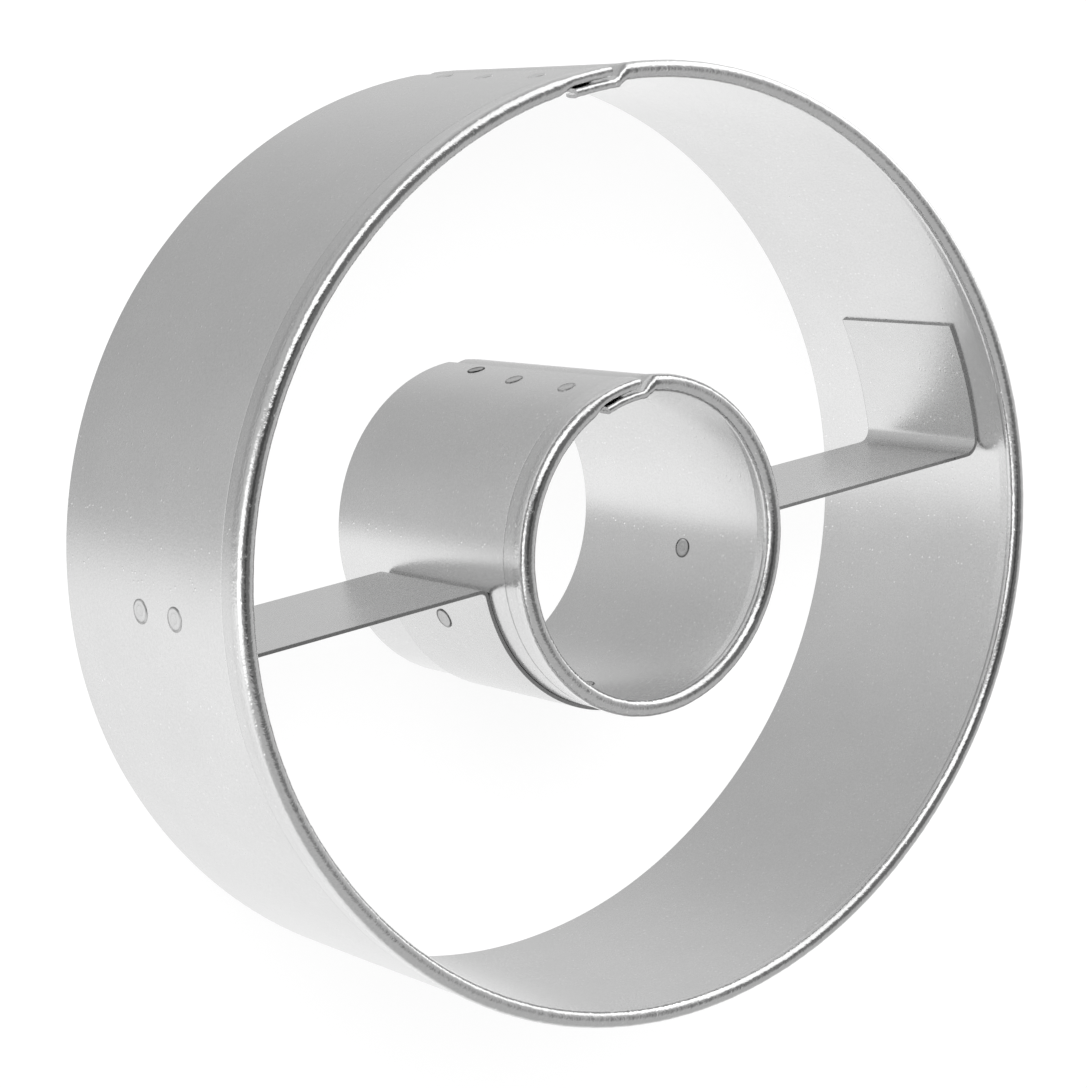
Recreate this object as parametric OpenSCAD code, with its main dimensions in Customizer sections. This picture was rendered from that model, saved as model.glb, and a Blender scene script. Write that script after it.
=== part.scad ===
// Doughnut cutter: two hoops of tin-plated steel strip with a rolled rim each, the small one
// carried in the middle of the large one by a flat bridge strap, all spot welded.
// It lies on its cutting edges, at z = 0, with its rolled rims up. The origin is the middle of
// the outer hoop, and X runs along the bridge strap.

/* [Outer hoop] */
// Outside diameter of the outer hoop, as if it were truly round
outer_d = 76.2; // [70:0.1:90]
// Depth of both hoops, from the cutting edge to the top of the rolled rim
depth = 23.7; // [22.5:0.1:32]
// How far the strap springs the outer hoop out along its long axis, and draws it in across
spring = 1.33; // [0:0.01:2]
// Direction of the sprung hoop's long axis, turned from the strap
spring_turn = -11.4; // [-20:0.1:20]
// Direction of the outer hoop's seam, turned from the strap
outer_seam_turn = 93.4; // [80:0.1:105]

/* [Inner hoop] */
// Outside diameter of the inner hoop
hole_d = 25.8; // [20:0.1:34]
// How far the inner hoop sits off centre along the strap
hole_x = -1.96; // [-3:0.01:3]
// How far the inner hoop sits above the middle, across the strap
hole_y = 0.78; // [0:0.01:1.5]
// Direction of the inner hoop's seam, turned from the strap
inner_seam_turn = 91; // [60:0.5:120]

/* [Sheet and rolled rims] */
// Thickness of the tin-plated sheet
sheet_t = 0.28; // [0.22:0.01:0.34]
// Outside diameter of the rolled rim
bead_d = 1.2; // [1.05:0.05:1.5]
// Height of the band below the rim, where the sheet leans in to the roll
neck_h = 2; // [1.5:0.1:3]

/* [Lap seams] */
// Length of the lap, measured round the hoop
lap_len = 4.1; // [3:0.1:6]
// Length of the step that takes the inner ply under the outer one
joggle_len = 1.8; // [1.2:0.1:3]
// Air between the two plies of a lap
lap_gap = 0.05; // [0.03:0.01:0.08]
// Open notch between the inner ply's end and the start of the rolled rim
lap_notch = 0.4; // [0.2:0.1:1]

/* [Bridge strap] */
// Width of the strap, along the depth of the hoops
strap_w = 12.7; // [9:0.1:14]
// Height of the strap's lower edge above the cutting edge
strap_up = 6.15; // [4:0.05:7.5]
// Level of the spans' upper face across the middle of the cutter
span_y = -0.15; // [-1:0.05:0.5]
// Length of each tab above the span's upper face
tab_len = 11.2; // [7:0.1:16]
// Inside radius of the bends between the spans and the tabs
tab_bend_r = 1.1; // [0.8:0.05:1.6]
// Inside radius of the bends between the spans and the cradle
cradle_bend_r = 0.45; // [0.3:0.05:0.8]
// Air between the strap and the hoops that it lies against
strap_fit = 0.02; // [0.01:0.01:0.05]

/* [Spot welds] */
// Diameter of the welds that hold the tabs
tab_weld_d = 1.9; // [1.4:0.1:2.2]
// Height of the tabs' welds above the span's upper face
tab_weld_up = 2.85; // [2.8:0.05:5]
// Distance between the two welds of a tab
tab_weld_pitch = 4.6; // [3:0.1:8]
// Diameter of the welds that hold the inner hoop in the cradle
cradle_weld_d = 1.4; // [1:0.1:1.8]
// Diameter of the welds that close the seams
seam_weld_d = 1.4; // [1:0.1:1.5]
// Depth of the mark that the electrode leaves over each weld
weld_mark = 0.05; // [0.02:0.01:0.08]
// Radial air between a weld and the holes that it fills
weld_fit = 0.01; // [0.005:0.005:0.02]

/* [Hidden] */

tin_colour = [0.78, 0.79, 0.80];
strap_colour = [0.70, 0.71, 0.73];
weld_colour = [0.52, 0.53, 0.54];

$fn = 96;
arc_fn = 240;

// Heights of the three welds of a seam, as shares of the depth below the neck
seam_height_shares = [0.26, 0.56, 0.89];
// Their places across the lap, from the outer ply's free end
seam_across_shares = [0.34, 0.62, 0.72];
// Directions of the cradle's welds about the inner hoop's middle
cradle_weld_turns = [-162, -88, -18];
// How deep a tab's weld reaches into the tab, as a share of the sheet
tab_weld_share = 0.6;
// How far the joggle's ends bite into the plies that they join, as a share of its length
joggle_bite_share = 0.15;
// How far the joggle's faces lie under the plies' faces, as a share of the sheet
joggle_tuck_share = 0.125;
// How much a bend is thinned on each face, as a share of the sheet, and how far it runs on
// into what it joins, in degrees
bend_thin_share = 0.04;
bend_overlap_turn = 4;
// The oval's arc centres and radii, in springs. They make a 3-4-5 triangle
end_shift_share = 4;
side_shift_share = 3;
radius_step_share = 5;

// One overrun for all cuts
cut = 0.5;
// A reach past every hoop, for the wedges that part the arcs. It is a whole number of steps,
// so that the corners of the 3-4-5 wedges stay on round numbers
reach_step = 10;
far = ceil(outer_d / reach_step) * 2 * reach_step;

outer_r = outer_d / 2;
hole_r = hole_d / 2;
bead_r = bead_d / 2;

// Heights in the strip: the neck starts at neck_z and enters the rolled rim at rim_z
rim_z = depth - bead_d + sheet_t / 2;
neck_z = rim_z - neck_h;

// The sprung hoop is an oval of four arcs. The end arcs' centres lie at end_shift along its
// long axis and the side arcs' centres at side_shift across it, and they meet at join_turn
end_shift = spring * end_shift_share;
side_shift = spring * side_shift_share;
end_r = outer_r + spring - end_shift;
side_r = end_r + spring * radius_step_share;
join_turn = atan2(side_shift_share, end_shift_share);
// Centre of the arc at the right end, in the part's own frame
end_x = end_shift * cos(spring_turn);
end_y = end_shift * sin(spring_turn);

// The seam's direction about the centre of the side arc that holds it
seam_from_axis = outer_seam_turn - spring_turn;
outer_seam_a = atan2(outer_r * sin(seam_from_axis) + side_shift, outer_r * cos(seam_from_axis));

// Face radii of the tabs, about the end arcs' centres
tab_in_r = end_r - 2 * sheet_t - strap_fit;
// Face radii of the cradle, about the inner hoop's middle
cradle_in_r = hole_r + strap_fit;
cradle_out_r = cradle_in_r + sheet_t;

// How far the inner ply of a lap lies under the outer one
ply_step = sheet_t + lap_gap;
joggle_bite = joggle_len * joggle_bite_share;
joggle_tuck = sheet_t * joggle_tuck_share;
bend_tuck = sheet_t * bend_thin_share;

// Angle that a length takes on an arc
function turn_of(len, r) = len / r * 180 / PI;

// Centre of the bend between a span and a tab. side is 1 at the right and -1 at the left
function tab_bend(side) =
    let (cy = side * end_y, up = span_y + tab_bend_r - cy, reach = tab_in_r - tab_bend_r)
    [side * end_x + side * sqrt(reach * reach - up * up), span_y + tab_bend_r];

// Centre of the bend between a span and the cradle
function cradle_bend(side) =
    let (down = span_y - sheet_t - cradle_bend_r - hole_y, reach = cradle_out_r + cradle_bend_r)
    [hole_x + side * sqrt(reach * reach - down * down), span_y - sheet_t - cradle_bend_r];

// Direction from one point to another
function dir(a, b) = atan2(b[1] - a[1], b[0] - a[0]);

// Outlines of the strip, with its outside face on the Y axis and its inside to the left.
// inset moves a ply inwards

module wall_outline(inset = 0) {
    translate([-inset - sheet_t, 0]) square([sheet_t, neck_z]);
}

module neck_outline(inset = 0) {
    polygon([[-inset, neck_z], [-inset - sheet_t, rim_z],
             [-inset - 2 * sheet_t, rim_z], [-inset - sheet_t, neck_z]]);
}

module curl_outline() {
    translate([-bead_r, depth - bead_r]) difference() {
        circle(r = bead_r);
        circle(r = bead_r - sheet_t);
    }
}

// The rim pressed flat, two sheets thick, as it is inside a lap
module hem_outline(inset = 0) {
    translate([-inset - 2 * sheet_t, depth - bead_d]) square([2 * sheet_t, bead_d - sheet_t]);
    translate([-inset - sheet_t, depth - sheet_t]) circle(r = sheet_t, $fn = 32);
}

module strip_outline() {
    wall_outline();
    neck_outline();
    curl_outline();
}

module outer_ply_outline() {
    translate([-sheet_t, 0]) square([sheet_t, depth - sheet_t]);
    hem_outline();
}

module inner_ply_outline() {
    wall_outline(ply_step);
    neck_outline(ply_step);
    hem_outline(ply_step + sheet_t);
}

// The part of the plan between two directions from an arc's centre
module sector(from, to) {
    polygon(concat([[0, 0]], [for (turn = [from, from + (to - from) / 3, to - (to - from) / 3, to])
                              far * [cos(turn), sin(turn)]]));
}

module wedge(from, to) {
    translate([0, 0, -cut]) linear_extrude(depth + 2 * cut) sector(from, to);
}

// An outline taken round an arc of radius r, all the way or from one direction to another
module hoop_of(r) {
    rotate_extrude($fn = arc_fn) translate([r, 0]) children();
}

module sweep(r, from, to) {
    intersection() {
        hoop_of(r) children();
        wedge(from, to);
    }
}

// Where the lap ends and the single strip goes on, and where the strip ends at the joggle
function lap_end(r, free_end) = free_end + turn_of(lap_len, r);
function strip_end(r, free_end) = free_end - turn_of(joggle_len - joggle_bite, r);

// One upright plate of the joggle, from the strip's inset to the inner ply's inset
module joggle_plate(r, free_end, bottom, top, from_inset, to_inset, thick) {
    half = joggle_len / 2;
    rotate([0, 0, free_end - turn_of(half, r)])
        translate([sqrt(r * r - half * half) - joggle_tuck, 0, bottom]) linear_extrude(top - bottom)
            polygon([[-from_inset, -half], [-to_inset, half],
                     [-to_inset - thick, half], [-from_inset - thick, -half]]);
}

// The lap of a hoop: the outer ply from its free end, the inner ply beneath it, and the
// joggle that steps the strip in to the inner ply, in its wall, its neck and its rim
module lap(r, free_end) {
    rim_low = depth - bead_d + joggle_tuck;
    sweep(r, free_end, lap_end(r, free_end)) outer_ply_outline();
    sweep(r, free_end - turn_of(joggle_bite, r), free_end + turn_of(lap_len - lap_notch, r))
        inner_ply_outline();
    joggle_plate(r, free_end, 0, neck_z + sheet_t, 0, ply_step, sheet_t);
    joggle_plate(r, free_end, neck_z - sheet_t, rim_low + sheet_t, sheet_t / 2,
                 ply_step + sheet_t / 2, sheet_t);
    joggle_plate(r, free_end, rim_low, depth - joggle_tuck, 0, ply_step + sheet_t, 2 * sheet_t);
}

// A cylinder across the sheet at one direction and height, from a depth under the arc's
// radius r to a height over it
module across_sheet(r, at, z, weld_r, under, over) {
    rotate([0, 0, at]) translate([r - under, 0, z]) rotate([0, 90, 0])
        cylinder(r = weld_r, h = under + over);
}

// Places of a seam's welds
module seam_weld_row(r, free_end, weld_r, under, over) {
    for (i = [0 : len(seam_height_shares) - 1]) {
        across_sheet(r, free_end + turn_of(lap_len * seam_across_shares[i], r),
                     neck_z * seam_height_shares[i], weld_r, under, over);
    }
}

// Both plies of a seam are holed where its welds join them
module seam_weld_holes(r, free_end) {
    seam_weld_row(r, free_end, seam_weld_d / 2 + weld_fit, 2 * sheet_t + lap_gap + cut, cut);
}

module seam_weld_nuggets(r, free_end) {
    seam_weld_row(r, free_end, seam_weld_d / 2, 2 * sheet_t + lap_gap, -weld_mark);
}

// The frame of the sprung hoop's arc that holds its seam
module on_side_arc() {
    rotate([0, 0, spring_turn]) translate([0, -side_shift, 0]) children();
}

// The frame of a tab's arc of the outer hoop
module on_end_arc(side) {
    translate([side * end_x, side * end_y, 0]) children();
}

// Direction of a tab's welds about its arc's centre
function tab_weld_turn(side) =
    let (rise = asin((span_y + tab_weld_up - side * end_y) / end_r))
    side > 0 ? rise : 180 - rise;

module tab_weld_pair(side, weld_r, under, over) {
    for (step = [-1, 1]) {
        on_end_arc(side) across_sheet(end_r, tab_weld_turn(side),
            strap_up + strap_w / 2 + step * tab_weld_pitch / 2, weld_r, under, over);
    }
}

// A tab's welds stop inside the tab, so its face stays plain
tab_weld_deep = sheet_t + strap_fit + sheet_t * tab_weld_share;

module tab_weld_holes(side) {
    tab_weld_pair(side, tab_weld_d / 2 + weld_fit, tab_weld_deep, cut);
}

module tab_weld_nuggets(side) {
    tab_weld_pair(side, tab_weld_d / 2, tab_weld_deep, -weld_mark);
}

module cradle_weld_row(weld_r, under, over) {
    for (turn = cradle_weld_turns) {
        translate([hole_x, hole_y, 0])
            across_sheet(hole_r, turn, strap_up + strap_w / 2, weld_r, under, over);
    }
}

module cradle_weld_holes() {
    cradle_weld_row(cradle_weld_d / 2 + weld_fit, sheet_t + cut, strap_fit + sheet_t + cut);
}

// Sheet metal pieces

// The oval hoop: one strip round three whole arcs and the two parts of the seam's arc
module outer_hoop() {
    color(tin_colour) difference() {
        union() {
            rotate([0, 0, spring_turn]) {
                translate([end_shift, 0, 0]) sweep(end_r, -join_turn, join_turn) strip_outline();
                translate([-end_shift, 0, 0])
                    sweep(end_r, 180 - join_turn, 180 + join_turn) strip_outline();
                translate([0, side_shift, 0])
                    sweep(side_r, 180 + join_turn, 360 - join_turn) strip_outline();
            }
            on_side_arc() {
                sweep(side_r, join_turn, strip_end(side_r, outer_seam_a)) strip_outline();
                sweep(side_r, lap_end(side_r, outer_seam_a), 180 - join_turn) strip_outline();
                lap(side_r, outer_seam_a);
            }
        }
        on_side_arc() seam_weld_holes(side_r, outer_seam_a);
        tab_weld_holes(1);
        tab_weld_holes(-1);
    }
}

// The round hoop that cuts the hole
module inner_hoop() {
    color(tin_colour) difference() {
        translate([hole_x, hole_y, 0]) {
            difference() {
                hoop_of(hole_r) strip_outline();
                wedge(strip_end(hole_r, inner_seam_turn), lap_end(hole_r, inner_seam_turn));
            }
            lap(hole_r, inner_seam_turn);
        }
        translate([hole_x, hole_y, 0]) seam_weld_holes(hole_r, inner_seam_turn);
        cradle_weld_holes();
    }
}

// A length of the sheet in plan, round a centre at inside radius r. tuck thins it on both faces
module ring_part(centre, r, from, to, tuck = 0) {
    translate(centre) intersection() {
        difference() {
            circle(r = r + sheet_t - tuck, $fn = arc_fn);
            circle(r = r + tuck, $fn = arc_fn);
        }
        sector(from, to);
    }
}

// A bend is drawn a little thinner than the sheet, and runs on into what it joins
module bend(centre, r, from, to) {
    ring_part(centre, r, min(from, to) - bend_overlap_turn, max(from, to) + bend_overlap_turn,
              bend_tuck);
}

// One side of the strap in plan: tab, bend, span and the bend into the cradle
module strap_side(side) {
    arc_c = [side * end_x, side * end_y];
    tab_c = tab_bend(side);
    cradle_c = cradle_bend(side);
    tangent = dir(arc_c, tab_c);
    top = asin((span_y + tab_len - arc_c[1]) / tab_in_r);
    tab_top = side > 0 ? top : 180 - top;
    foot = side > 0 ? tangent : (tangent < 0 ? tangent + 360 : tangent);
    ring_part(arc_c, tab_in_r, min(foot, tab_top), max(foot, tab_top));
    bend(tab_c, tab_bend_r, foot, side > 0 ? -90 : 270);
    translate([min(tab_c[0], cradle_c[0]), span_y - sheet_t])
        square([abs(tab_c[0] - cradle_c[0]), sheet_t]);
    bend(cradle_c, cradle_bend_r, 90, dir(cradle_c, [hole_x, hole_y]));
}

// The strap: two tabs, two spans and a cradle under the inner hoop, bent from one flat strip
module bridge_strap() {
    hole_c = [hole_x, hole_y];
    color(strap_colour) difference() {
        translate([0, 0, strap_up]) linear_extrude(strap_w) {
            strap_side(1);
            strap_side(-1);
            ring_part(hole_c, cradle_in_r, dir(hole_c, cradle_bend(-1)), dir(hole_c, cradle_bend(1)));
        }
        tab_weld_holes(1);
        tab_weld_holes(-1);
        cradle_weld_holes();
    }
}

// Weld nuggets, each a plug of fused metal through the sheets that it joins

module outer_seam_welds() {
    color(weld_colour) on_side_arc() seam_weld_nuggets(side_r, outer_seam_a);
}

module inner_seam_welds() {
    color(weld_colour) translate([hole_x, hole_y, 0]) seam_weld_nuggets(hole_r, inner_seam_turn);
}

module left_tab_welds() {
    color(weld_colour) tab_weld_nuggets(-1);
}

module right_tab_welds() {
    color(weld_colour) tab_weld_nuggets(1);
}

module cradle_welds() {
    color(weld_colour)
        cradle_weld_row(cradle_weld_d / 2, sheet_t - weld_mark, strap_fit + sheet_t - weld_mark);
}

outer_hoop();
inner_hoop();
bridge_strap();
outer_seam_welds();
inner_seam_welds();
left_tab_welds();
right_tab_welds();
cradle_welds();
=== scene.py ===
import math

import bmesh
import bpy
import numpy as np
from mathutils import Euler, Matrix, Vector


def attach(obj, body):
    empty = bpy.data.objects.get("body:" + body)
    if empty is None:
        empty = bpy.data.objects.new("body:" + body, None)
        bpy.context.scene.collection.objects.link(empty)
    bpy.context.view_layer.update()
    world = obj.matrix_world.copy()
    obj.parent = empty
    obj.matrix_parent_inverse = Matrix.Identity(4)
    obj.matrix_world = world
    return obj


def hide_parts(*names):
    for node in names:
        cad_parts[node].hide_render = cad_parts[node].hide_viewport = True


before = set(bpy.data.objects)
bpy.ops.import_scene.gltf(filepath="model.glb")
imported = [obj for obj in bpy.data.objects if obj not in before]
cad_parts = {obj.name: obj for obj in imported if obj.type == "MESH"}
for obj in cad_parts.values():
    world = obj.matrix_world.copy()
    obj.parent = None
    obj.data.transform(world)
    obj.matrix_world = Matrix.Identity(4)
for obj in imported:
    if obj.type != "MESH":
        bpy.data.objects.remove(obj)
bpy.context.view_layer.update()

# Camera
# It looks down on the cutter from the left, a little under a quarter metre away, rolled so
# that the bridge strap runs across the picture and the tabs' free ends point up.
mm = 0.001
camera_place = Vector((-134.37, 46.61, 178.93)) * mm
camera_aim = Vector((-3.87, 0.24, 11.65)) * mm
camera_roll = math.radians(99.46)
camera_lens = 91.82
sensor_width = 36
nearest_seen = 5 * mm
farthest_seen = 5.0
photo_width, photo_height = 1087, 1088
optical_axis_px = (540.0, 542.5)

camera_data = bpy.data.cameras.new("camera")
camera_data.sensor_width = sensor_width
camera_data.lens = camera_lens
camera_data.clip_start = nearest_seen
camera_data.clip_end = farthest_seen
camera_data.shift_x = (photo_width / 2 - optical_axis_px[0]) / photo_height
camera_data.shift_y = (optical_axis_px[1] - photo_height / 2) / photo_height
camera = bpy.data.objects.new("camera", camera_data)
camera.location = camera_place
look = (camera_aim - camera_place).to_track_quat("-Z", "Y")
camera.rotation_mode = "QUATERNION"
camera.rotation_quaternion = look @ Euler((0, 0, camera_roll)).to_quaternion()
bpy.context.scene.collection.objects.link(camera)
bpy.context.scene.camera = camera
bpy.context.scene.view_settings.view_transform = "Standard"

# Floor
# A plain white bench top under the cutting edges. It keeps the cutter's soft shadow, and
# the metal sees the room's own light past it.
floor_half = 2.0
floor_white = (0.86, 0.86, 0.86, 1)
floor_glow_share = 0.85
floor_glow = 1.08


def add_node(tree, kind, settings=None, **links):
    """One node. A keyword names an input socket, and its value is a number, colour or socket."""
    made = tree.nodes.new(kind)
    for name, value in (settings or {}).items():
        setattr(made, name, value)
    for name, value in links.items():
        key = name.replace("_", " ")
        socket = made.inputs[int(name[3:])] if name.startswith("at_") else made.inputs[key]
        if isinstance(value, bpy.types.NodeSocket):
            tree.links.new(value, socket)
        else:
            socket.default_value = value
    return made


def new_material(name):
    made = bpy.data.materials.new(name)
    made.use_nodes = True
    made.node_tree.nodes.clear()
    return made


def calc(tree, operation, a, b=0.0, c=0.0):
    """A Math node's result."""
    made = add_node(tree, "ShaderNodeMath", {"operation": operation}, at_0=a, at_1=b, at_2=c)
    return made.outputs[0]


def bench_top():
    material = new_material("white_bench_top")
    tree = material.node_tree
    rays = add_node(tree, "ShaderNodeLightPath")
    paint = add_node(tree, "ShaderNodeBsdfDiffuse", Color=floor_white)
    glow = add_node(tree, "ShaderNodeEmission", Color=(1, 1, 1, 1), Strength=floor_glow)
    seen = add_node(tree, "ShaderNodeMixShader", at_0=floor_glow_share,
                    at_1=paint.outputs[0], at_2=glow.outputs[0])
    lit = add_node(tree, "ShaderNodeMixShader", at_0=rays.outputs["Is Camera Ray"],
                   at_1=paint.outputs[0], at_2=seen.outputs[0])
    past = add_node(tree, "ShaderNodeBsdfTransparent")
    passing = calc(tree, "MAXIMUM", rays.outputs["Is Glossy Ray"], rays.outputs["Is Shadow Ray"])
    passing = calc(tree, "MAXIMUM", passing, rays.outputs["Is Transmission Ray"])
    whole = add_node(tree, "ShaderNodeMixShader", at_0=passing,
                     at_1=lit.outputs[0], at_2=past.outputs[0])
    add_node(tree, "ShaderNodeOutputMaterial", Surface=whole.outputs[0])
    return material


floor_mesh = bpy.data.meshes.new("floor")
floor_mesh.from_pydata([(-floor_half, -floor_half, 0), (floor_half, -floor_half, 0),
                        (floor_half, floor_half, 0), (-floor_half, floor_half, 0)],
                       [], [(0, 1, 2, 3)])
floor_mesh.materials.append(bench_top())
floor = bpy.data.objects.new("floor", floor_mesh)
bpy.context.scene.collection.objects.link(floor)

# Room light
# A small white studio: a white table on the side below the picture, screens at the left and
# the right, two windows and the dark of the camera's own place. Each is a soft patch that the
# metal sees. One soft lamp above, which the metal doesn't see, casts the shadow.
room_grey = 0.50
room_darkest = 0.07
# The table is where two patches overlap: towards, cosines where it starts and is full
table_below_picture = ((0, -1, 0), -0.06, 0.13)
table_underneath = ((0, 0, -1), -0.05, 0.60)
table_glow = 0.44
room_patches = {
    # towards, cosines where the patch starts and where it is full, light added
    "left_screen": ((-1.00, 0.06, 0.04), 0.84, 0.97, 0.80),
    "left_wall": ((-1.00, 0.00, -0.35), 0.50, 0.95, 0.10),
    "right_screen": ((0.92, 0.38, 0.00), 0.86, 0.96, 0.75),
    "right_wall": ((0.90, 0.10, -0.45), 0.45, 0.95, 0.16),
    "far_wall": ((-0.10, 1.00, 0.05), 0.75, 0.96, -0.14),
    "high_window": ((-0.34, 0.78, 0.52), 0.87, 0.96, 0.95),
    "far_window": ((0.45, 0.80, 0.35), 0.83, 0.95, 0.80),
    "camera_place": ((-0.50, 0.18, 0.85), 0.82, 0.96, -0.30),
    "dark_ceiling": ((0.15, 0.10, 0.98), 0.72, 0.93, -0.34),
    "underfoot": ((0.00, 0.00, -1.00), 0.84, 0.94, -0.16),
}
lamp_place = Vector((-120, 260, 420)) * mm
lamp_size = 0.45
lamp_watts = 2.6

world = bpy.data.worlds.new("room")
bpy.context.scene.world = world
world.use_nodes = True
world.node_tree.nodes.clear()
room = world.node_tree
room_direction = add_node(room, "ShaderNodeTexCoord").outputs["Generated"]


def ramp(tree, value, low, high, first=0.0, last=1.0, soft=False):
    """Goes from first to last as the value goes from low to high, with level ends if soft."""
    settings = {"interpolation_type": "SMOOTHSTEP"} if soft else {}
    return add_node(tree, "ShaderNodeMapRange", settings, Value=value, From_Min=low,
                    From_Max=high, To_Min=first, To_Max=last).outputs[0]


def soft_patch(towards, start, full, light=1.0):
    """A patch of the room: 0 outside it, rising softly to its light in the middle."""
    facing = add_node(room, "ShaderNodeVectorMath", {"operation": "DOT_PRODUCT"},
                      at_0=room_direction, at_1=Vector(towards).normalized()).outputs["Value"]
    return ramp(room, facing, start, full, 0.0, light, soft=True)


table = calc(room, "MULTIPLY", soft_patch(*table_below_picture), soft_patch(*table_underneath))
level = calc(room, "MULTIPLY_ADD", table, table_glow, room_grey)
for patch in room_patches.values():
    level = calc(room, "ADD", soft_patch(*patch), level)
level = calc(room, "MAXIMUM", level, room_darkest)
seen_by_camera = add_node(room, "ShaderNodeLightPath").outputs["Is Camera Ray"]
level = calc(room, "MAXIMUM", seen_by_camera, level)
glow = add_node(room, "ShaderNodeBackground", Color=(1, 1, 1, 1), Strength=level)
add_node(room, "ShaderNodeOutputWorld", Surface=glow.outputs[0])

lamp_data = bpy.data.lights.new("soft_lamp", "AREA")
lamp_data.shape = "DISK"
lamp_data.size = lamp_size
lamp_data.energy = lamp_watts
lamp = bpy.data.objects.new("soft_lamp", lamp_data)
lamp.location = lamp_place
lamp.visible_glossy = False
lamp.rotation_mode = "QUATERNION"
lamp.rotation_quaternion = (-lamp_place).to_track_quat("-Z", "Y")
bpy.context.scene.collection.objects.link(lamp)

# Outer hoop
# One strip of tin-plated steel, its upper edge rolled inwards to a bead, bent to a hoop that
# the strap springs oval. Its ends lap: the rim is pinched there, and the strip steps in
# through a joggle to pass under its own free end.
depth = 23.7 * mm
sheet = 0.28 * mm
bead_radius = 0.68 * mm
neck_foot = 21.05 * mm
neck_shares = (0.02, 0.07, 0.25, 0.50, 0.75, 0.95)
crease = 0.012 * mm
burr = sheet * 0.12
roll_start = math.radians(-6)
roll_end = math.radians(247)
rolled_sheet = sheet * 0.93
bead_rows, core_rows = 27, 15
outer_flare = 0.13 * mm
outer_radius = 38.1 * mm
outer_long_axis = math.radians(-11.4)
outer_free_end = math.radians(93.4)
# The oval's four arcs, in springs: how much smaller the end arcs' radius is and how much
# larger the side arcs', and their centres' shifts, which are two sides of a 3-4-5 triangle
outer_spring = 1.33 * mm
end_less = 3
side_more = 2
end_shift_share = 4
side_shift_share = 3
triangle_long_side = 5
# The lap, and the joggle that leads under it
lap_length = 4.1 * mm
lap_gap = 0.05 * mm
rim_gap = 0.13 * mm
inner_ply_short = 0.3 * mm
joggle_length = 1.9 * mm
joggle_end = 0.1 * mm
pinch_fade = (0.6 * mm, 1.4 * mm)
pinch_slit = sheet * 0.04
pinched_flare_share = 0.4
inner_pinch_from = 0.8
# The dent and the crumple that the joggle leaves in the bead: place in the joggle from its
# end, width, and depth
dent_place, dent_width, dent_pinch = 0.7, 0.35 * mm, 0.12
crumple_place, crumple_width, crumple_dip = 0.45, 0.7 * mm, 0.06 * mm
# Unevenness: the lengths of the waves and their height
bead_wobble = ((0.9 * mm, 1.7 * mm, 3.1 * mm), 0.014 * mm)
bead_dip = ((1.2 * mm, 2.3 * mm, 4.1 * mm), 0.010 * mm)
bead_low = 0.012 * mm
joggle_wobble = ((0.5 * mm, 0.8 * mm), 0.05 * mm)
wall_wave_lengths = (18 * mm, 31 * mm)
wall_wave = 0.035 * mm
wall_wave_turn, wall_wave_start = math.pi * 0.9, 0.3
length_spread = 0.15
any_phase = 7
# The tin's skin. Scales are in patches to the metre, and heights in the grain's own height
tin_colour = (0.80, 0.80, 0.80)
tin_dull = 0.25
grain_scale, grain_tone, grain_rough = 5200.0, 0.24, 0.12
cloud_scale, cloud_tones, cloud_rough = 170.0, (0.982, 1.014), 0.05
wipe_scale, wipe_height, wipe_rough = 900.0, 0.4, 0.06
crystal_scale, crystal_height = 2600.0, 0.25
# The glint tone lightens the lucky crystals' colour, a painted glint; the glint height is a real bump
glint_luck, painted_glint_tone, glint_height = 0.86, 0.30, 2.4
knurl_scale, knurl_height = 3100.0, 4.2
rim_burnish = 0.42
# Cut edges darker than the tin: bare steel, and painted shade for the gaps beside them
bare_edge_and_gap_shade = 0.40
raw_edge_width, raw_top_width = 0.05 * mm, 0.04 * mm
skin_bump, skin_depth = 0.35, 0.02 * mm


def blend(a, b, share):
    return a + (b - a) * share


def smooth(x, low, high):
    """Rises from 0 at low to 1 at high, with level ends."""
    t = np.clip((np.asarray(x, float) - low) / (high - low), 0, 1)
    return t * t * (3 - 2 * t)


def hump(x, middle, width):
    """Rises to 1 in the middle and falls away on both sides."""
    return np.exp(-((x - middle) / width) ** 2)


def wall_rows(offset):
    """Rows up the wall's face, from the burr of the cutting edge to just under the crease."""
    below_crease, under_crease = 0.12 * mm, 0.03 * mm
    heights = list(np.linspace(0, neck_foot - below_crease, 11)[1:])
    return [(offset, z) for z in [burr] + heights + [neck_foot - under_crease]]


def neck_rows(flare, top):
    """Rows up the neck's outside, which leans out from the wall to its top."""
    return [(blend(-flare, top[0], share), blend(neck_foot, top[1], share))
            for share in neck_shares]


def outside_rows(flare, crease_depth, neck):
    """Rows up the outside: the burr, the wall, a faint crease and the neck."""
    foot = [(-flare - burr, 0)] + wall_rows(-flare)
    return foot + [(-flare - crease_depth, neck_foot)] + neck


def inside_rows(flare, neck):
    """Rows down the inside, one sheet further in."""
    rows = [(x - sheet, z) for x, z in neck[::-1]] + [(-flare - sheet, neck_foot)]
    return rows + wall_rows(-flare - sheet)[::-1] + [(-flare - sheet + burr, 0)]


def round_rows(centre, radius, turns):
    return [(centre[0] + radius * math.cos(turn), centre[1] + radius * math.sin(turn))
            for turn in turns]


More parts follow.
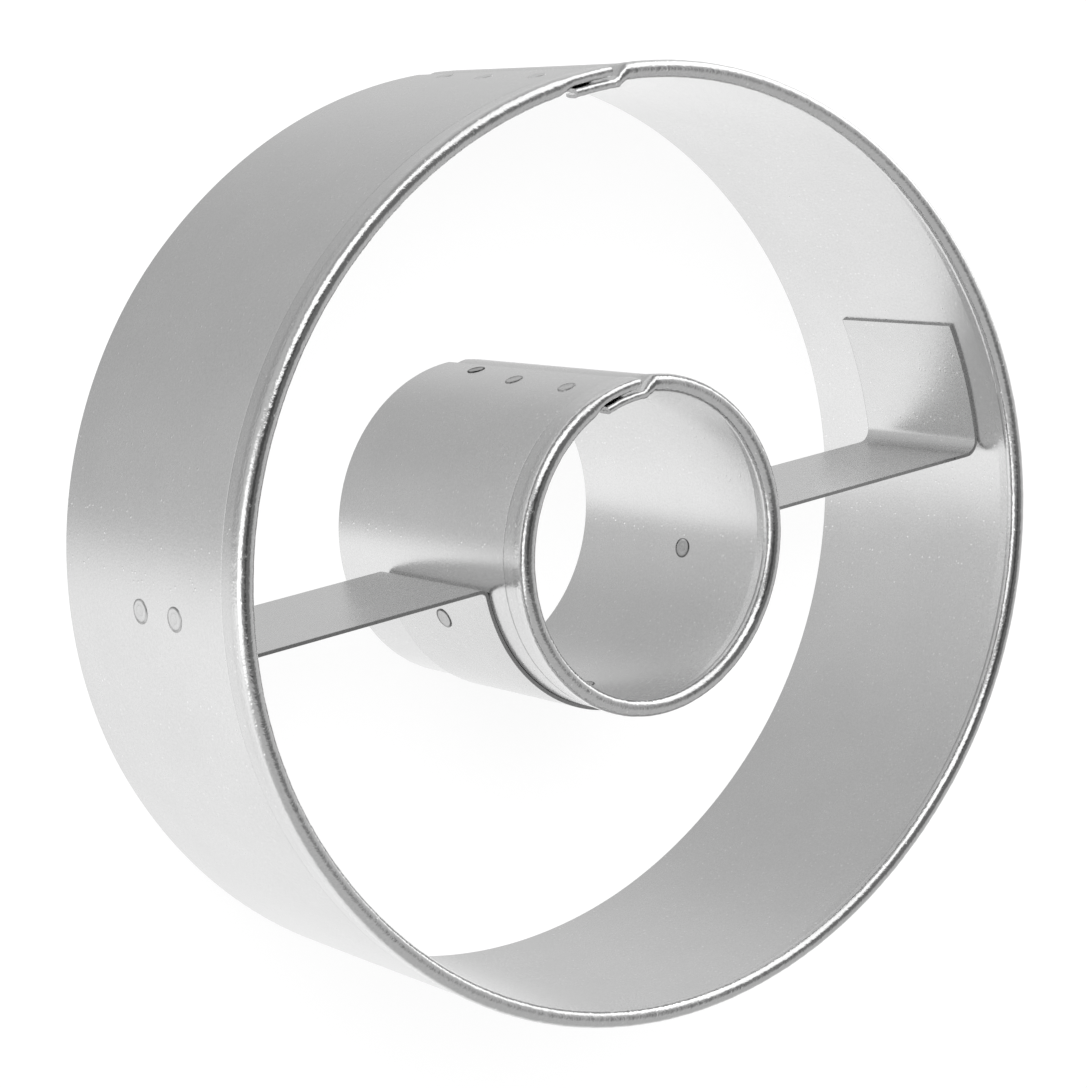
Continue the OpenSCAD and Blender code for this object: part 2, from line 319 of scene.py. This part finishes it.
def rolled_outline(flare):
    """The strip's closed outline with its bead rolled: rows of offset from the bead's outside,
    inwards negative, and height. The wall stands in by the flare. It runs up the outside, over
    the bead to its raw edge, back round the bead's hollow core and down the inside."""
    centre = (-bead_radius, depth - bead_radius)
    neck = neck_rows(flare, round_rows(centre, bead_radius, [roll_start])[0])
    rows = outside_rows(flare, crease, neck)
    rows += round_rows(centre, bead_radius, np.linspace(roll_start, roll_end, bead_rows))
    core_turns = np.linspace(roll_end, roll_start, core_rows)
    rows += round_rows(centre, bead_radius - rolled_sheet, core_turns)
    return np.array(rows + inside_rows(flare, neck))


def pinched_outline(flare):
    """As many rows, where the bead is squeezed flat against the wall inside a lap: up its
    face, over the fold, down its back, and up and down the slit that is left inside."""
    face_rows, fold_rows, back_rows, slit_up_rows = 6, 13, 8, 7
    slit_down_rows = bead_rows + core_rows - face_rows - fold_rows - back_rows - slit_up_rows
    top = depth - sheet
    low = depth - 2 * bead_radius
    face = -pinched_flare_share * flare
    neck = neck_rows(flare, (face, low))
    rows = outside_rows(flare, 0, neck)
    rows += [(face, z) for z in np.linspace(low, top, face_rows)]
    fold_turns = np.linspace(0, math.pi, fold_rows + 2)[1:-1]
    rows += round_rows((face - sheet, top), sheet, fold_turns)
    rows += [(face - 2 * sheet, z) for z in np.linspace(top, low, back_rows)]
    rows += [(face - sheet - pinch_slit, z) for z in np.linspace(low, top, slit_up_rows)]
    rows += [(face - sheet + pinch_slit, z) for z in np.linspace(top, low, slit_down_rows)]
    return np.array(rows + inside_rows(flare, neck))


def ripple(along, seed, lengths, height):
    """A gentle unevenness along the strip, made of waves of the given lengths."""
    draw = np.random.default_rng(seed)
    total = np.zeros_like(along)
    for length in lengths:
        stretch = draw.uniform(1 - length_spread, 1 + length_spread)
        phase = draw.uniform(0, any_phase)
        total += np.sin(along * 2 * math.pi / length * stretch + phase)
    return total * height / len(lengths)


def strip_places(round_trip):
    """Places along the strip, closer together at the lap and the joggle."""
    fine, coarse = 0.12 * mm, 0.28 * mm
    near_lap = lap_length + 2.5 * mm
    near_joggle = round_trip - joggle_length - 1.5 * mm
    far = round_trip + lap_length - inner_ply_short
    return np.concatenate([
        np.linspace(0, near_lap, int(near_lap / fine)),
        np.linspace(near_lap, near_joggle, int((near_joggle - near_lap) / coarse))[1:],
        np.linspace(near_joggle, far, int((far - near_joggle) / fine))[1:]])


def strip_sections(along, round_trip, seed, pinch, flare):
    """The strip's outline at each place: pinched in the lap, stepped in by the joggle, and
    uneven, as hand work is."""
    rolled, pinched = rolled_outline(flare), pinched_outline(flare)
    outer_pinch, inner_pinch = pinch
    fade_from, fade_to = lap_length - pinch_fade[0], lap_length + pinch_fade[1]
    squeeze = outer_pinch * (1 - smooth(along, fade_from, fade_to))
    squeeze += inner_pinch * smooth(along, round_trip - joggle_length * inner_pinch_from, round_trip)
    squeeze += dent_pinch * hump(along, round_trip - joggle_length * dent_place, dent_width)
    outline = rolled[None] + (pinched - rolled)[None] * squeeze[:, None, None]
    bead_foot, bead_side = depth - 2.4 * bead_radius, depth - 1.5 * bead_radius
    high = smooth(outline[..., 1], neck_foot, depth - 1.6 * bead_radius)
    rim_step = 2 * sheet + (1 - outer_pinch) * (2 * bead_radius - 2 * sheet) + rim_gap
    wall_step = sheet + lap_gap
    step = smooth(along, round_trip - joggle_length, round_trip - joggle_end)
    outline[..., 0] -= step[:, None] * blend(wall_step, rim_step, high)
    bead = smooth(outline[..., 1], bead_foot, bead_side)
    crumple = hump(along, round_trip - joggle_length * crumple_place, crumple_width)
    wobble = ripple(along, seed, *bead_wobble) + crumple * ripple(along, seed + 1, *joggle_wobble)
    outline[..., 0] += bead * wobble[:, None]
    dip = ripple(along, seed + 2, *bead_dip) + bead_low + crumple * crumple_dip
    outline[..., 1] -= bead * dip[:, None]
    wave = ripple(along, seed + 3, wall_wave_lengths, wall_wave)
    up_the_wall = np.sin(outline[..., 1] / depth * wall_wave_turn + wall_wave_start)
    outline[..., 0] += wave[:, None] * up_the_wall - wall_wave
    return outline


def strip_blank(name, radius, free_end, seed, pinch, flare):
    """The strip before it is bent: x is its turn round the hoop, y its offset from the hoop's
    outside face and z its height. It starts at the outer ply's free end and ends under it."""
    round_trip = 2 * math.pi * radius
    along = strip_places(round_trip)
    outline = strip_sections(along, round_trip, seed, pinch, flare)
    sections, points = outline.shape[:2]
    turn = free_end + along / radius
    verts = np.stack([np.broadcast_to(turn[:, None], (sections, points)),
                      outline[..., 0], outline[..., 1]], -1).reshape(-1, 3)
    faces = []
    for i in range(sections - 1):
        here, beyond = i * points, (i + 1) * points
        for j in range(points):
            k = (j + 1) % points
            faces.append((here + j, here + k, beyond + k, beyond + j))
    first_end = range(points)
    last_end = range(len(verts) - points, len(verts))
    faces.append(tuple(reversed(first_end)))
    faces.append(tuple(last_end))
    mesh = bpy.data.meshes.new(name)
    mesh.from_pydata(verts.tolist(), [], faces)
    mesh.update()
    raw_end = mesh.attributes.new("raw_end", "FLOAT", "POINT")
    for j in (*first_end, *last_end):
        raw_end.data[j].value = 1.0
    made = bpy.data.objects.new(name, mesh)
    bpy.context.scene.collection.objects.link(made)
    return made


def new_tree(name, sizes):
    """A Geometry Nodes tree with named inputs for its sizes."""
    tree = bpy.data.node_groups.new(name, "GeometryNodeTree")
    tree.is_modifier = True
    tree.interface.new_socket("Geometry", in_out="INPUT", socket_type="NodeSocketGeometry")
    for size in sizes:
        kind = "NodeSocketVector" if size == "Centre" else "NodeSocketFloat"
        tree.interface.new_socket(size, in_out="INPUT", socket_type=kind)
    tree.interface.new_socket("Material", in_out="INPUT", socket_type="NodeSocketMaterial")
    tree.interface.new_socket("Geometry", in_out="OUTPUT", socket_type="NodeSocketGeometry")
    return tree, add_node(tree, "NodeGroupInput"), add_node(tree, "NodeGroupOutput")


def finish_tree(tree, source, sink, geometry):
    realized = add_node(tree, "GeometryNodeRealizeInstances", Geometry=geometry)
    painted = add_node(tree, "GeometryNodeSetMaterial", Geometry=realized.outputs[0],
                       Material=source.outputs["Material"])
    tree.links.new(painted.outputs[0], sink.inputs["Geometry"])


def bending_tree():
    """Bends a flat strip round an oval of four arcs, whose centres make a 3-4-5 triangle."""
    tree, source, sink = new_tree("bend_strip_to_hoop", ["Radius", "Spring", "Long axis", "Centre"])
    spring, long_axis = source.outputs["Spring"], source.outputs["Long axis"]
    flat_place = add_node(tree, "GeometryNodeInputPosition").outputs[0]
    flat = add_node(tree, "ShaderNodeSeparateXYZ", Vector=flat_place)
    flat_turn, flat_offset, flat_height = flat.outputs

    def times(a, b):
        return calc(tree, "MULTIPLY", a, b)

    def minus(a, b):
        return calc(tree, "SUBTRACT", a, b)

    def springs(count, start=0.0):
        return calc(tree, "MULTIPLY_ADD", spring, count, start)

    turn = minus(flat_turn, long_axis)
    cosine, sine = calc(tree, "COSINE", turn), calc(tree, "SINE", turn)
    size_c, size_s = calc(tree, "ABSOLUTE", cosine), calc(tree, "ABSOLUTE", sine)
    end_radius = springs(-end_less, source.outputs["Radius"])
    side_radius = springs(side_more, source.outputs["Radius"])
    end_shift, side_shift = springs(end_shift_share), springs(-side_shift_share)
    # An end arc and a side arc meet on the line through both centres, the triangle's long side
    join_x = calc(tree, "MULTIPLY_ADD", end_radius, end_shift_share / triangle_long_side, end_shift)
    join_y = times(end_radius, side_shift_share / triangle_long_side)
    at_end = calc(tree, "GREATER_THAN", times(size_c, join_y), times(size_s, join_x))

    def pick(end_value, side_value):
        return add_node(tree, "ShaderNodeMix", {"data_type": "FLOAT"}, at_0=at_end,
                        at_2=side_value, at_3=end_value).outputs[0]

    shift = pick(end_shift, side_shift)
    radius = pick(end_radius, side_radius)
    share = pick(size_c, size_s)
    across = minus(1.0, times(share, share))
    inside = minus(times(radius, radius), times(times(shift, shift), across))
    reach = calc(tree, "ADD", calc(tree, "SQRT", inside), times(shift, share))
    centre_x = times(times(shift, at_end), calc(tree, "SIGN", cosine))
    centre_y = times(times(shift, minus(1.0, at_end)), calc(tree, "SIGN", sine))
    hoop_x, hoop_y = times(reach, cosine), times(reach, sine)
    out_x = calc(tree, "DIVIDE", minus(hoop_x, centre_x), radius)
    out_y = calc(tree, "DIVIDE", minus(hoop_y, centre_y), radius)
    place = add_node(tree, "ShaderNodeCombineXYZ", Z=flat_height,
                     X=calc(tree, "MULTIPLY_ADD", out_x, flat_offset, hoop_x),
                     Y=calc(tree, "MULTIPLY_ADD", out_y, flat_offset, hoop_y))
    turned = add_node(tree, "ShaderNodeVectorRotate", {"rotation_type": "Z_AXIS"},
                      Vector=place.outputs[0], Angle=long_axis)
    placed = add_node(tree, "ShaderNodeVectorMath", {"operation": "ADD"}, at_0=turned.outputs[0],
                      at_1=source.outputs["Centre"])
    bent = add_node(tree, "GeometryNodeSetPosition", Geometry=source.outputs["Geometry"],
                    Position=placed.outputs[0])
    finish_tree(tree, source, sink, bent.outputs[0])
    return tree


def run_tree(piece, tree, material, **sizes):
    """Runs a tree on a piece and keeps the result as the piece's own plain mesh."""
    modifier = piece.modifiers.new("shape", "NODES")
    modifier.node_group = tree
    for item in tree.interface.items_tree:
        if item.item_type == "SOCKET" and item.in_out == "INPUT":
            key = item.name.replace(" ", "_").lower()
            if key == "material":
                modifier[item.identifier] = material
            elif key in sizes:
                modifier[item.identifier] = sizes[key]
    seen = piece.evaluated_get(bpy.context.evaluated_depsgraph_get())
    mesh = bpy.data.meshes.new_from_object(seen)
    piece.modifiers.remove(modifier)
    old, piece.data = piece.data, mesh
    mesh.name = piece.name
    bpy.data.meshes.remove(old)


def face_outwards(piece, sharp=38):
    """Turns the faces outwards and shades them smooth up to a sharp edge, in degrees."""
    work = bmesh.new()
    work.from_mesh(piece.data)
    if work.calc_volume(signed=True) < 0:
        bmesh.ops.reverse_faces(work, faces=work.faces)
    for face in work.faces:
        face.smooth = True
    for edge in work.edges:
        edge.smooth = edge.calc_face_angle(math.pi) < math.radians(sharp)
    work.to_mesh(piece.data)
    work.free()


def noise(tree, place, scale, detail, **settings):
    return add_node(tree, "ShaderNodeTexNoise", Vector=place, Scale=scale, Detail=detail,
                    **settings).outputs[0]


def roughen(tree, rough, pattern, spread):
    """Spreads the roughness both ways by a pattern."""
    return calc(tree, "MULTIPLY_ADD", pattern, spread, calc(tree, "SUBTRACT", rough, spread / 2))


def tin_finish(name, colour, dull, streak, cut_middle, cut_half, cut_end=1.0):
    """Tin-plated steel: a satin skin of fine crystals, with faint wipe marks and glints, whose
    lighter colour on the lucky crystals is a painted glint. The rolled rim is burnished by the roll
    that made it. The raw cut edges, cut_half from cut_middle in height, past cut_end across and at a
    strip's
    ends, are darker: bare steel, darkened further with painted shade for the gaps beside them."""
    material = new_material(name)
    tree = material.node_tree
    place = add_node(tree, "ShaderNodeTexCoord").outputs["Object"]
    apart = add_node(tree, "ShaderNodeSeparateXYZ", Vector=place)
    along = add_node(tree, "ShaderNodeMapping", Vector=place, Scale=streak)
    grain = noise(tree, place, grain_scale, 3.0, Roughness=0.65)
    cloud = noise(tree, place, cloud_scale, 4.0, Roughness=0.6)
    wipes = noise(tree, along.outputs[0], wipe_scale, 4.0)
    knurl = noise(tree, place, knurl_scale, 2.0, Roughness=0.6)
    crystals = add_node(tree, "ShaderNodeTexVoronoi", Vector=place, Scale=crystal_scale)
    bright = ramp(tree, crystals.outputs["Distance"], 0.0, 0.30, 1.0, 0.0)
    lucky = add_node(tree, "ShaderNodeSeparateColor", Color=crystals.outputs["Color"]).outputs[0]
    glint = calc(tree, "MULTIPLY", bright, calc(tree, "GREATER_THAN", lucky, glint_luck))
    rim = ramp(tree, apart.outputs[2], depth - 2.3 * bead_radius, depth - 1.6 * bead_radius,
               soft=True)

    from_middle = calc(tree, "ABSOLUTE", calc(tree, "SUBTRACT", apart.outputs[2], cut_middle))
    raw_edge = calc(tree, "GREATER_THAN", from_middle, cut_half - raw_edge_width)
    raw_top = calc(tree, "GREATER_THAN", apart.outputs[1], cut_end - raw_top_width)
    end_mark = add_node(tree, "ShaderNodeAttribute", {"attribute_name": "raw_end"}).outputs["Fac"]
    raw = calc(tree, "MAXIMUM", raw_edge, raw_top)
    raw = calc(tree, "MAXIMUM", raw, calc(tree, "GREATER_THAN", end_mark, 0.95))

    fleck = calc(tree, "MULTIPLY_ADD", grain, grain_tone, 1 - grain_tone / 2)
    # The lucky crystals' lighter tone is a painted glint
    tone = calc(tree, "MULTIPLY", ramp(tree, cloud, 0.35, 0.65, *cloud_tones),
                calc(tree, "MULTIPLY_ADD", glint, painted_glint_tone, fleck))
    # The cut edges darken: bare steel, and painted shade for the gaps beside them
    tone = calc(tree, "MULTIPLY", tone, calc(tree, "MULTIPLY_ADD", raw, -bare_edge_and_gap_shade, 1.0))
    skin = add_node(tree, "ShaderNodeMix", {"data_type": "RGBA", "blend_type": "MULTIPLY"},
                    at_0=1.0, at_6=(*colour, 1), at_7=tone)

    rough = roughen(tree, dull, cloud, cloud_rough)
    rough = roughen(tree, rough, grain, grain_rough)
    rough = roughen(tree, rough, wipes, wipe_rough)
    rough = calc(tree, "MULTIPLY", rough, calc(tree, "MULTIPLY_ADD", rim, -rim_burnish, 1.0))

    height = calc(tree, "MULTIPLY_ADD", bright, crystal_height, grain)
    height = calc(tree, "MULTIPLY_ADD", glint, glint_height, height)
    height = calc(tree, "MULTIPLY_ADD", wipes, wipe_height, height)
    height = calc(tree, "MULTIPLY_ADD", calc(tree, "MULTIPLY", knurl, rim), knurl_height, height)
    bump = add_node(tree, "ShaderNodeBump", Height=height, Strength=skin_bump, Distance=skin_depth)
    metal = add_node(tree, "ShaderNodeBsdfPrincipled", Base_Color=skin.outputs[2], Metallic=1.0,
                     Roughness=rough, Normal=bump.outputs[0])
    add_node(tree, "ShaderNodeOutputMaterial", Surface=metal.outputs[0])
    return material


hoop_tin = tin_finish("hoop_tinplate", tin_colour, tin_dull, (1, 1, 6), depth, depth)
bend_tree = bending_tree()
outer_hoop = strip_blank("outer_hoop_strip", outer_radius, outer_free_end, seed=11,
                         pinch=(0.66, 0.78), flare=outer_flare)
run_tree(outer_hoop, bend_tree, hoop_tin, radius=outer_radius, spring=outer_spring,
         long_axis=outer_long_axis, centre=(0, 0, 0))
face_outwards(outer_hoop)
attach(outer_hoop, "root")
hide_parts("outer_hoop")

# Inner hoop
# A shorter length of the same rolled strip, bent round and lapped the same way. It cuts the
# hole, and sits a little off the middle of the cutter.
inner_radius = 12.9 * mm
inner_centre = Vector((-1.96, 0.78, 0)) * mm
inner_free_end = math.radians(91)
inner_flare = 0.16 * mm
inner_rim_radius = inner_radius + inner_flare

inner_hoop = strip_blank("inner_hoop_strip", inner_rim_radius, inner_free_end, seed=23,
                         pinch=(0.60, 0.92), flare=inner_flare)
run_tree(inner_hoop, bend_tree, hoop_tin, radius=inner_rim_radius, spring=0.0, long_axis=0.0,
         centre=inner_centre)
face_outwards(inner_hoop)
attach(inner_hoop, "root")
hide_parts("inner_hoop")

# Bridge strap
# One flat strip of duller tinplate, bent on edge: a tab against the outer hoop at each end,
# two spans, and a cradle under the inner hoop. It holds the two hoops together.
strap_width = 12.7 * mm
strap_low = 6.15 * mm
strap_middle = strap_low + strap_width / 2
strap_edge = 0.03 * mm
span_level = -0.15 * mm
span_line_level = span_level - sheet / 2
tab_length = 11.2 * mm
tab_bend = 1.1 * mm
cradle_bend = 0.45 * mm
strap_air = 0.02 * mm
cradle_snug = 0.025 * mm
cradle_radius = inner_radius - cradle_snug + sheet / 2
hole_centre = Vector(inner_centre[:2])
span_steps = 40
strap_colour = (0.76, 0.76, 0.76)
strap_dull = 0.27


def arc_points(centre, radius, start, end, step=0.25 * mm):
    count = max(4, int(abs(end - start) * radius / step))
    return [centre + Vector((math.cos(t), math.sin(t))) * radius
            for t in np.linspace(start, end, count)]


def end_arc(side):
    """The centre and the outside radius of one of the outer hoop's end arcs."""
    towards = Vector((math.cos(outer_long_axis), math.sin(outer_long_axis)))
    return towards * outer_spring * end_shift_share * side, outer_radius - end_less * outer_spring


def strap_half(side):
    """The middle line of half the strap in plan, from the tab's free end to the cradle."""
    arc_centre, end_radius = end_arc(side)
    tab_radius = end_radius - outer_flare - sheet - strap_air - sheet / 2
    bend_radius = tab_bend + sheet / 2
    reach = tab_radius - bend_radius
    rise = span_line_level + bend_radius - arc_centre.y
    run = side * math.sqrt(reach ** 2 - rise ** 2)
    bend_centre = arc_centre + Vector((run, rise))
    foot = math.atan2(rise, abs(run))
    top = math.asin((span_level + tab_length - arc_centre.y) / tab_radius)

    small_radius = cradle_bend + sheet / 2
    away = cradle_radius + small_radius
    drop = span_line_level - small_radius - hole_centre.y
    small_run = side * math.sqrt(away ** 2 - drop ** 2)
    small_centre = hole_centre + Vector((small_run, drop))
    inward = math.atan2(-drop, -abs(small_run))

    def arc(centre, radius, start, end):
        """An arc drawn for the right half, mirrored for the left one."""
        return [centre + Vector((side * p.x, p.y))
                for p in arc_points(Vector((0, 0)), radius, start, end)]

    span_start = Vector((bend_centre.x, span_line_level))
    span_end = Vector((small_centre.x, span_line_level))
    line = arc(arc_centre, tab_radius, top, foot)
    line += arc(bend_centre, bend_radius, foot, -math.pi / 2)[1:]
    line += [span_start.lerp(span_end, share) for share in np.linspace(0, 1, span_steps)[1:]]
    line += arc(small_centre, small_radius, math.pi / 2, inward % (2 * math.pi))[1:]
    return line


def pressing_tree():
    """Gives a line in plan the strap's width and thickness."""
    tree, source, sink = new_tree("press_strap", ["Thickness", "Width", "Edge"])
    line = add_node(tree, "GeometryNodeMeshToCurve", Mesh=source.outputs["Geometry"])
    level_line = add_node(tree, "GeometryNodeSetCurveNormal", {"mode": "Z_UP"}, Curve=line.outputs[0])
    flat = add_node(tree, "GeometryNodeCurvePrimitiveQuadrilateral",
                    Width=source.outputs["Thickness"], Height=source.outputs["Width"])
    soft = add_node(tree, "GeometryNodeFilletCurve", {"mode": "POLY"}, Curve=flat.outputs[0],
                    Count=2, Radius=source.outputs["Edge"])
    cut = add_node(tree, "GeometryNodeResampleCurve", {"mode": "EVALUATED"}, Curve=soft.outputs[0])
    swept = add_node(tree, "GeometryNodeCurveToMesh", Curve=level_line.outputs[0],
                     Profile_Curve=cut.outputs[0], Fill_Caps=True)
    finish_tree(tree, source, sink, swept.outputs[0])
    return tree


def plan_line(name, points, height):
    mesh = bpy.data.meshes.new(name)
    edges = [(i, i + 1) for i in range(len(points) - 1)]
    mesh.from_pydata([(p.x, p.y, height) for p in points], edges, [])
    made = bpy.data.objects.new(name, mesh)
    bpy.context.scene.collection.objects.link(made)
    return made


def turn_about_hole(point):
    return math.atan2(point.y - hole_centre.y, point.x - hole_centre.x) % (2 * math.pi)


left_line, right_line = strap_half(-1), strap_half(1)
cradle_line = arc_points(hole_centre, cradle_radius, turn_about_hole(left_line[-1]),
                         turn_about_hole(right_line[-1]))
strap = plan_line("strap_metal", left_line + cradle_line[1:-1] + right_line[::-1], strap_middle)
strap_tin = tin_finish("strap_tinplate", strap_colour, strap_dull, (0.15, 1, 1), strap_middle,
                       strap_width / 2, span_level + tab_length)
run_tree(strap, pressing_tree(), strap_tin, thickness=sheet, width=strap_width, edge=strap_edge)
face_outwards(strap, sharp=20)
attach(strap, "root")
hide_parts("bridge_strap")

# Spot welds
# Each weld is a button of fused metal through the sheets that it joins. What shows of it is the
# electrode's print: a shallow disc in the tin with a thin rim round it, darkened by burning and by
# painted shade at the print's edge.
tab_weld_radius = 0.93 * mm
seam_weld_radius = 0.72 * mm
cradle_weld_radius = 0.82 * mm
tab_weld_up = 2.85 * mm
tab_weld_half_pitch = 2.3 * mm
seam_heights = (5.37 * mm, 11.56 * mm, 18.37 * mm)
seam_across_shares = (0.34, 0.62, 0.72)
seam_burn_shares = (1.5, 0.35, 0.1)
cradle_weld_turns = (-162, -88, -18)
weld_colour = (0.74, 0.74, 0.74)
# How high a print's rim stands, how high its disc does, and how deep both go into the sheet
pale_lip, faint_lip, burnt_lip = 0.03 * mm, 0.008 * mm, 0.042 * mm
print_stand = 0.018 * mm
print_root = 0.1 * mm
# The print's rim and the ring inside it: place and width in radii, and the ring's height in lips
rim_place, rim_width = 0.88, 0.06
ring_place, ring_width, ring_height = 0.42, 0.09, 0.45
print_sides, print_rings = 40, 16


def weld_finish(name, burnt, rim_burn_and_edge_shade):
    """The print's own skin: tin inside the rim, and on the rim burnt grey steel with painted shade at
    the print's edge. Each weld of a group has its own share of the burning, and keeps the painted
    shade, most of the rim's darkening, without it."""
    material = new_material(name)
    tree = material.node_tree
    painted_edge_shade_share = 0.6
    place = add_node(tree, "ShaderNodeTexCoord").outputs["Object"]
    share = add_node(tree, "ShaderNodeAttribute", {"attribute_name": "print_share"}).outputs["Fac"]
    burn = add_node(tree, "ShaderNodeAttribute", {"attribute_name": "burn_share"}).outputs["Fac"]
    grain = noise(tree, place, 3600.0, 3.0, Roughness=0.6)
    patchy = noise(tree, place, 1100.0, 2.0)
    rim = ramp(tree, share, 0.76, 0.90, soft=True)
    uneven = ramp(tree, patchy, 0.35, 0.6, 0.35, 1.0)
    # The rim's darkening: painted shade at the print's edge, deepened by the burning
    darkening = calc(tree, "MULTIPLY_ADD", burn, (painted_edge_shade_share - 1) * rim_burn_and_edge_shade,
                     -painted_edge_shade_share * rim_burn_and_edge_shade)
    dark = calc(tree, "MULTIPLY", calc(tree, "MULTIPLY", rim, uneven), darkening)
    tin = calc(tree, "MULTIPLY_ADD", grain, 0.3, 0.85)
    tone = calc(tree, "ADD", calc(tree, "MULTIPLY_ADD", burn, -burnt, tin), dark)
    skin = add_node(tree, "ShaderNodeMix", {"data_type": "RGBA", "blend_type": "MULTIPLY"},
                    at_0=1.0, at_6=(*weld_colour, 1), at_7=tone)
    rough = calc(tree, "MULTIPLY_ADD", grain, 0.2, 0.2)
    bump = add_node(tree, "ShaderNodeBump", Height=grain, Strength=skin_bump, Distance=skin_depth)
    metal = add_node(tree, "ShaderNodeBsdfPrincipled", Base_Color=skin.outputs[2], Metallic=1.0,
                     Roughness=rough, Normal=bump.outputs[0])
    add_node(tree, "ShaderNodeOutputMaterial", Surface=metal.outputs[0])
    return material


def printing_tree():
    """Puts a weld's print on each point, square to the sheet."""
    tree, source, sink = new_tree("print_welds", ["Radius", "Root", "Lip", "Stand"])
    radius, root = source.outputs["Radius"], source.outputs["Root"]
    blank = add_node(tree, "GeometryNodeMeshCylinder", {"fill_type": "TRIANGLE_FAN"},
                     Vertices=print_sides, Side_Segments=1, Fill_Segments=print_rings,
                     Radius=radius, Depth=root)
    place = add_node(tree, "GeometryNodeInputPosition").outputs[0]
    apart = add_node(tree, "ShaderNodeSeparateXYZ", Vector=place)
    across_x, across_y, up = apart.outputs
    plan = add_node(tree, "ShaderNodeCombineXYZ", X=across_x, Y=across_y)
    reach = add_node(tree, "ShaderNodeVectorMath", {"operation": "LENGTH"}, at_0=plan.outputs[0])
    share = calc(tree, "DIVIDE", reach.outputs["Value"], radius)

    def swell(middle, width):
        off = calc(tree, "DIVIDE", calc(tree, "SUBTRACT", share, middle), width)
        return calc(tree, "EXPONENT", calc(tree, "MULTIPLY", calc(tree, "MULTIPLY", off, off), -1.0))

    rings = calc(tree, "MULTIPLY_ADD", swell(ring_place, ring_width), ring_height,
                 swell(rim_place, rim_width))
    raised = calc(tree, "MULTIPLY_ADD", rings, source.outputs["Lip"], source.outputs["Stand"])
    on_top = calc(tree, "GREATER_THAN", up, 0.0)
    sunk = calc(tree, "SUBTRACT", up, calc(tree, "MULTIPLY", root, 0.5))
    lift = add_node(tree, "ShaderNodeCombineXYZ", X=across_x, Y=across_y,
                    Z=calc(tree, "MULTIPLY_ADD", on_top, raised, sunk))
    pressed = add_node(tree, "GeometryNodeSetPosition", Geometry=blank.outputs["Mesh"],
                       Position=lift.outputs[0])
    marked = add_node(tree, "GeometryNodeStoreNamedAttribute",
                      {"data_type": "FLOAT", "domain": "POINT"},
                      Geometry=pressed.outputs[0], Name="print_share", Value=share)
    facing = add_node(tree, "GeometryNodeInputNamedAttribute", {"data_type": "FLOAT_VECTOR"},
                      Name="facing")
    square = add_node(tree, "FunctionNodeAlignRotationToVector", {"axis": "Z"},
                      Vector=facing.outputs["Attribute"])
    prints = add_node(tree, "GeometryNodeInstanceOnPoints", Points=source.outputs["Geometry"],
                      Instance=marked.outputs[0], Rotation=square.outputs[0])
    finish_tree(tree, source, sink, prints.outputs[0])
    return tree


def touch(metal_piece, centre, turn, height, from_inside=False):
    """Where a ray square to a hoop meets a sheet, from outside the cutter or from the hoop's
    middle, and which way the sheet faces there."""
    well_outside = 60 * mm
    out = Vector((math.cos(turn), math.sin(turn), 0))
    start = Vector((centre[0], centre[1], height))
    if not from_inside:
        start += out * well_outside
    facing = -out if from_inside else out
    found, place, _, _ = metal_piece.ray_cast(start, -facing)
    if not found:
        raise RuntimeError("a weld misses its sheet")
    return place, facing


def weld_group(name, node, spots, radius, lip, material, burn_shares=None):
    mesh = bpy.data.meshes.new(name)
    mesh.from_pydata([tuple(place) for place, _ in spots], [], [])
    # The first attribute is filled before the next is made, which would move it in memory
    facing = mesh.attributes.new("facing", "FLOAT_VECTOR", "POINT")
    for i, (_, out) in enumerate(spots):
        facing.data[i].vector = out
    burn = mesh.attributes.new("burn_share", "FLOAT", "POINT")
    for i in range(len(spots)):
        burn.data[i].value = burn_shares[i] if burn_shares else 1.0
    group = bpy.data.objects.new(name, mesh)
    bpy.context.scene.collection.objects.link(group)
    run_tree(group, print_tree, material, radius=radius, root=print_root, lip=lip, stand=print_stand)
    face_outwards(group)
    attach(group, "root")
    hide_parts(node)


print_tree = printing_tree()
pale_weld = weld_finish("weld_print_on_tin", 0.0, 0.55)
faint_weld = weld_finish("weld_print_wiped", 0.0, 0.12)
burnt_weld = weld_finish("weld_print_burnt", 0.22, 0.62)

for side, name in ((-1, "left"), (1, "right")):
    arc_centre, end_radius = end_arc(side)
    rise = math.asin((span_level + tab_weld_up - arc_centre.y) / end_radius)
    tab_turn = rise if side > 0 else math.pi - rise
    spots = [touch(outer_hoop, arc_centre, tab_turn, strap_middle + step * tab_weld_half_pitch)
             for step in (-1, 1)]
    weld_group(name + "_tab_weld_prints", name + "_tab_welds", spots, tab_weld_radius,
               pale_lip, pale_weld)

for hoop, which, centre, radius, free_end, lip, finish in (
        (outer_hoop, "outer", (0, 0), outer_radius, outer_free_end, faint_lip, faint_weld),
        (inner_hoop, "inner", hole_centre, inner_radius, inner_free_end, burnt_lip, burnt_weld)):
    spots = [touch(hoop, centre, free_end + lap_length * share / radius, height)
             for share, height in zip(seam_across_shares, seam_heights)]
    weld_group(which + "_seam_weld_prints", which + "_seam_welds", spots, seam_weld_radius,
               lip, finish, seam_burn_shares)

spots = []
for degrees in cradle_weld_turns:
    turn = math.radians(degrees)
    spots.append(touch(strap, hole_centre, turn, strap_middle))
    spots.append(touch(inner_hoop, hole_centre, turn, strap_middle, from_inside=True))
weld_group("cradle_weld_prints", "cradle_welds", spots, cradle_weld_radius, burnt_lip, burnt_weld)
